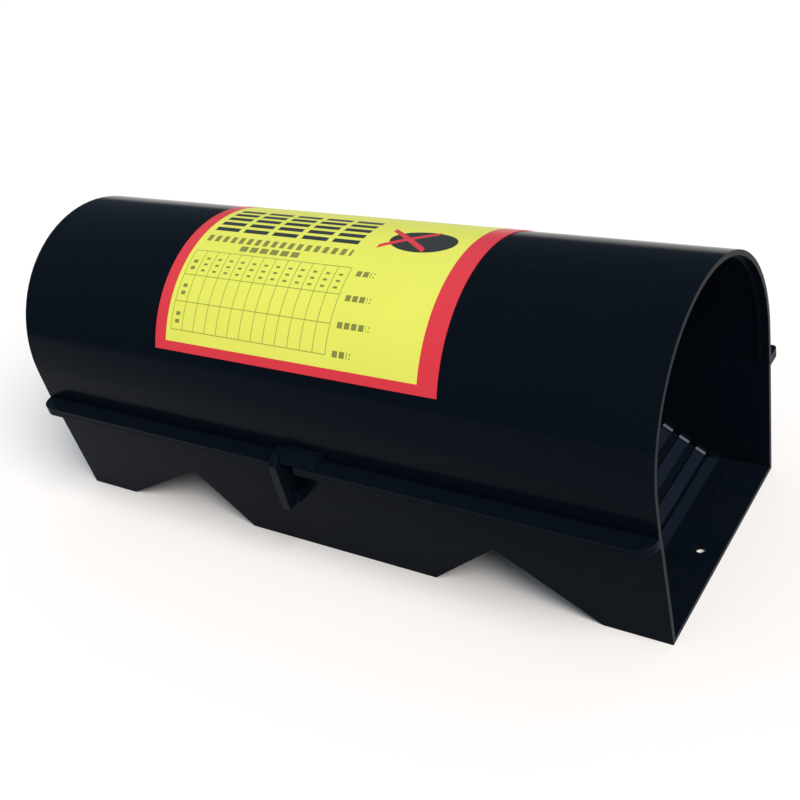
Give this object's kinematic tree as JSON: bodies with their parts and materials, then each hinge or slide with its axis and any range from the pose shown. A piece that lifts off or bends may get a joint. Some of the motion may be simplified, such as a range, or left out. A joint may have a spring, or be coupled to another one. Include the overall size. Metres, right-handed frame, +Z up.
{
  "type": "rodent bait station",
  "caption": "Black plastic tunnel bait station: ridged-ramp base with a central well, hinged arched cover, front latch, service label and wax bait blocks.",
  "frame": {"origin": "middle of the bait well's flat underside, on the surface that the station stands on", "axes": "+X along the tunnel, -Y the front with the latch and the label, +Y the hinged back, +Z up"},
  "size_m": [0.31, 0.1369, 0.1254],
  "materials": {
    "base_plastic": "moulded gloss",
    "cover_plastic": "moulded gloss",
    "latch_plastic": "moulded gloss",
    "label_film": "printed vinyl film",
    "pin_steel": "zinc plated",
    "bait_wax": "pressed wax"
  },
  "bodies": {
    "base": {"base_shell": "base_plastic", "hinge_pin_left": "pin_steel", "hinge_pin_right": "pin_steel", "bait_block_1": "bait_wax", "bait_block_2": "bait_wax", "bait_block_3": "bait_wax", "bait_block_4": "bait_wax"},
    "cover": {"arch_cover": "cover_plastic", "service_label": "label_film"},
    "latch": {"front_latch": "latch_plastic"}
  },
  "joints": [
    {"name": "cover_hinge", "type": "hinge", "parent": "base", "child": "cover", "pos_m": [0, 0.0678, 0.0528], "axis": [-1, 0, 0], "range_deg": [0, 160]},
    {"name": "latch_pivot", "type": "hinge", "parent": "base", "child": "latch", "pos_m": [-0.0084, -0.0598, 0.035], "axis": [1, 0, 0], "range_deg": [0, 12], "stiffness_Nm_per_rad": 0.02, "springref_deg": -5.73}
  ]
}
